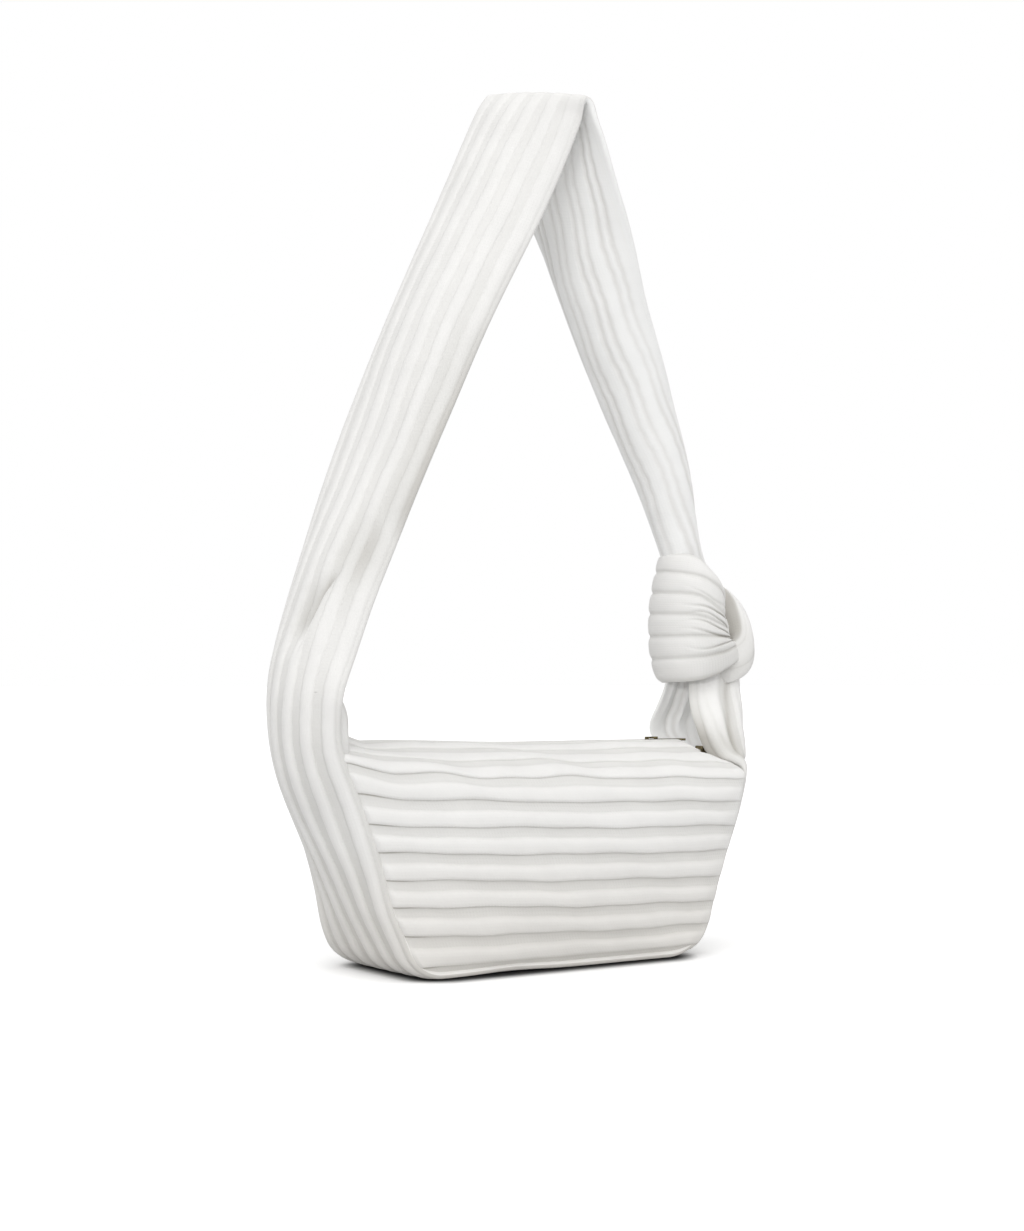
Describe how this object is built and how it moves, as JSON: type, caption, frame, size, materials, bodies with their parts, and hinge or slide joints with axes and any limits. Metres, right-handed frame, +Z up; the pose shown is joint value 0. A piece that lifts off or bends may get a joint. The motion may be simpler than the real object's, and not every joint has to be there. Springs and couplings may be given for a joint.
{
  "type": "shoulder bag",
  "caption": "Off-white shoulder bag of ribbed tubular knit, with one band for base, ends and strap, a knotted strap end and a zipped top.",
  "frame": {"origin": "middle of the flat underside of the base, where the bag stands on the floor", "axes": "+X along the bag towards the end with the knot, -Y out of the front panel, +Z up"},
  "size_m": [0.351, 0.122, 0.5598],
  "materials": {
    "rib_knit": "matte off-white tubular rib knit",
    "lining_twill": "matte cotton twill",
    "fleece": "soft needled fleece",
    "base_board": "plain stiffener board",
    "zip_tape": "woven tape",
    "antique_brass": "dark antique plating"
  },
  "bodies": {
    "bag": {"base_band": "rib_knit", "left_end_band": "rib_knit", "right_end_band": "rib_knit", "front_panel": "rib_knit", "back_panel": "rib_knit", "base_board": "base_board", "front_wadding": "fleece", "back_wadding": "fleece", "front_lining": "lining_twill", "back_lining": "lining_twill", "base_lining": "lining_twill", "left_lining": "lining_twill", "right_lining": "lining_twill", "inner_pocket": "lining_twill", "bottom_stop": "antique_brass", "left_zip_tab": "rib_knit", "right_zip_tab": "rib_knit", "zip_end_clamp": "antique_brass"},
    "strap": {"left_strap_root": "rib_knit", "strap_left_leg": "rib_knit", "strap_crown": "rib_knit", "strap_right_leg": "rib_knit", "knot_core": "rib_knit", "knot_wrap": "rib_knit", "knot_loop": "rib_knit", "strap_fan": "rib_knit"},
    "front_lip": {"front_mouth_lip": "rib_knit", "front_zip_tape": "zip_tape", "front_zip_teeth": "antique_brass", "front_top_stop": "antique_brass"},
    "back_lip": {"back_mouth_lip": "rib_knit", "back_zip_tape": "zip_tape", "back_zip_teeth": "antique_brass", "back_top_stop": "antique_brass"},
    "slider": {"zip_slider": "antique_brass"},
    "puller": {"zip_puller": "antique_brass"}
  },
  "joints": [
    {"name": "strap_swing", "type": "hinge", "parent": "bag", "child": "strap", "pos_m": [0, 0, 0.156], "axis": [1, 0, 0], "range_deg": [-75, 65], "deforming": ["left_strap_root", "strap_fan"]},
    {"name": "zip_slide", "type": "slide", "parent": "bag", "child": "slider", "axis": [1, 0, 0], "range_m": [-0.196, 0]},
    {"name": "puller_swing", "type": "hinge", "parent": "slider", "child": "puller", "pos_m": [0.102, 0, 0.1365], "axis": [0, -1, 0], "range_deg": [0, 165]},
    {"name": "front_lip_open", "type": "hinge", "parent": "bag", "child": "front_lip", "pos_m": [0, -0.047, 0.117], "axis": [1, 0, 0], "range_deg": [0, 60], "deforming": ["front_zip_tape", "front_zip_teeth"]},
    {"name": "back_lip_open", "type": "hinge", "parent": "bag", "child": "back_lip", "pos_m": [0, 0.047, 0.117], "axis": [-1, 0, 0], "range_deg": [0, 60], "deforming": ["back_zip_tape", "back_zip_teeth"]}
  ],
  "couplings": [
    {"joint": "front_lip_open", "follows": "zip_slide", "rad_per_m": -5.3424},
    {"joint": "back_lip_open", "follows": "zip_slide", "rad_per_m": -5.3424}
  ]
}
